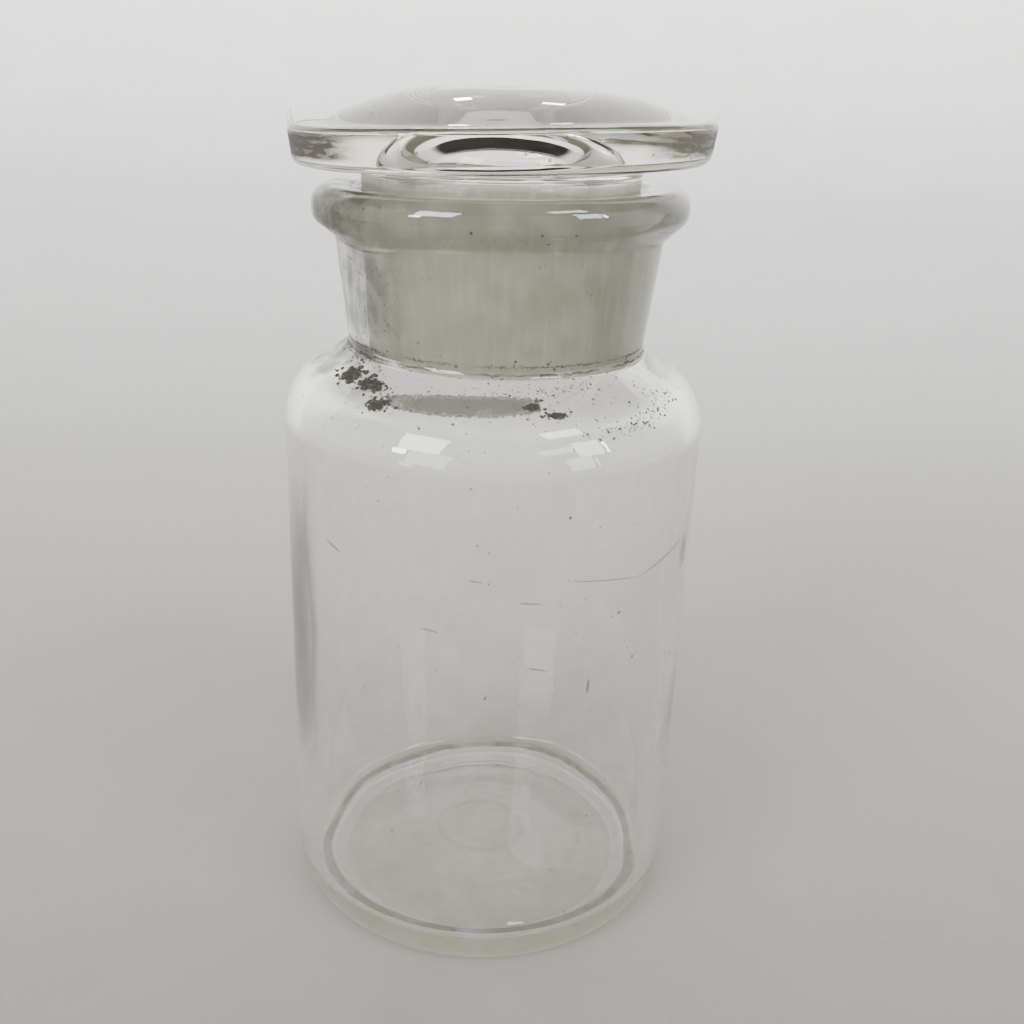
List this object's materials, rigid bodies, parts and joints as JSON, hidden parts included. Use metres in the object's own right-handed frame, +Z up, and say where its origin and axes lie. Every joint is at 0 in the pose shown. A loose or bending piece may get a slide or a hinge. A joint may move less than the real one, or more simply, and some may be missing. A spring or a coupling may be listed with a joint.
{
  "type": "wide-mouth reagent bottle",
  "caption": "Clear glass wide-mouth reagent bottle with a domed disc-head stopper ground into its tapered neck.",
  "frame": {"origin": "centre of the base, on the plane that the bottle stands on", "axes": "+Z up along the axis of the bottle and stopper; X and Y are equal by symmetry"},
  "size_m": [0.0542, 0.0542, 0.1087],
  "materials": {
    "bottle_glass": "clear old soda glass, fire-polished lip, frosted where the neck is ground, scuffed and stained",
    "stopper_glass": "clear polished head, ground frosted plug",
    "grime": "dry dark grime and dust: crumbs caked on the shoulder below the neck, stray fibres on the stopper's rim"
  },
  "bodies": {
    "bottle": {"bottle": "bottle_glass"},
    "stopper": {"stopper": "stopper_glass"}
  },
  "joints": [
    {"name": "stopper_lift", "type": "slide", "parent": "bottle", "child": "stopper", "axis": [0, 0, 1], "range_m": [0, 0.045]}
  ]
}
